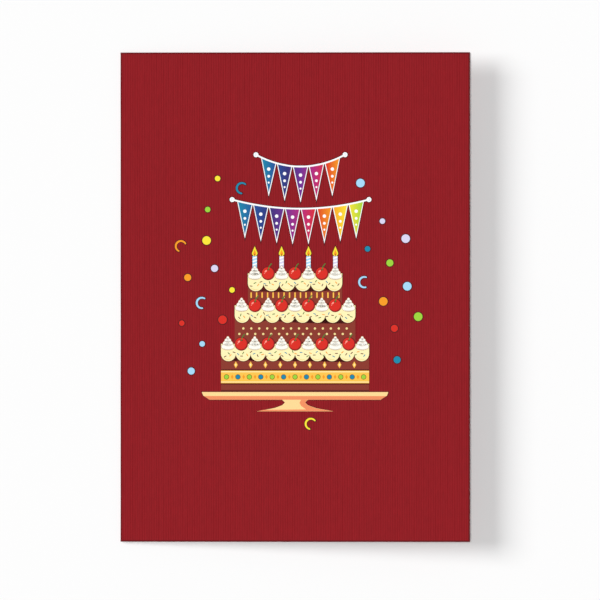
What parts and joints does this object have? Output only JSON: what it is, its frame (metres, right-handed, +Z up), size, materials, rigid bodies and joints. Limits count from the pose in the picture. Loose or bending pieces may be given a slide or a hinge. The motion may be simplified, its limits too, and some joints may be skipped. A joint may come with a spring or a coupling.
{
  "type": "pop up card",
  "caption": "Closed folded greeting card with a ribbed cover and bright party print; a flat-folded paper cake inside stands up when the card is opened.",
  "frame": {"origin": "centre of the closed card's outline, on the surface that its back cover lies on", "axes": "+X from the fold to the open edge, +Y to the top of the print, +Z up from the back cover"},
  "size_m": [0.127, 0.1778, 0.0127],
  "materials": {
    "berry_card": "matt",
    "board_card": "matt",
    "candle_card": "matt",
    "chocolate_card": "matt",
    "cover_card": "matt, finely ribbed",
    "cream_card": "matt",
    "ink_blue": "matt ink",
    "ink_chocolate": "matt ink",
    "ink_cream": "matt ink",
    "ink_gold": "matt ink",
    "ink_indigo": "matt ink",
    "ink_lilac": "matt ink",
    "ink_lime": "matt ink",
    "ink_magenta": "matt ink",
    "ink_orange": "matt ink",
    "ink_piped_cream": "matt ink",
    "ink_purple": "matt ink",
    "ink_red": "matt ink",
    "ink_sky": "matt ink",
    "ink_tan": "matt ink",
    "ink_teal": "matt ink",
    "ink_white": "matt ink",
    "ink_yellow": "matt ink",
    "plain_card": "matt"
  },
  "bodies": {
    "root": {"back_cake_board": "board_card", "card_cover": "cover_card", "front_cake_board": "board_card", "left_candle": "candle_card", "lower_back_berries": "berry_card", "lower_centre_post": "plain_card", "lower_front_berries": "berry_card", "lower_icing": "cream_card", "lower_tier": "chocolate_card", "lower_top": "cream_card", "middle_candle": "candle_card", "print_blue": "ink_blue", "print_chocolate": "ink_chocolate", "print_cream": "ink_cream", "print_gold": "ink_gold", "print_indigo": "ink_indigo", "print_lilac": "ink_lilac", "print_lime": "ink_lime", "print_magenta": "ink_magenta", "print_orange": "ink_orange", "print_piped_cream": "ink_piped_cream", "print_purple": "ink_purple", "print_red": "ink_red", "print_sky": "ink_sky", "print_tan": "ink_tan", "print_teal": "ink_teal", "print_white": "ink_white", "print_yellow": "ink_yellow", "right_candle": "candle_card", "upper_back_berries": "berry_card", "upper_centre_post": "plain_card", "upper_front_berries": "berry_card", "upper_icing": "cream_card", "upper_tier": "chocolate_card", "upper_top": "cream_card"}
  },
  "joints": []
}
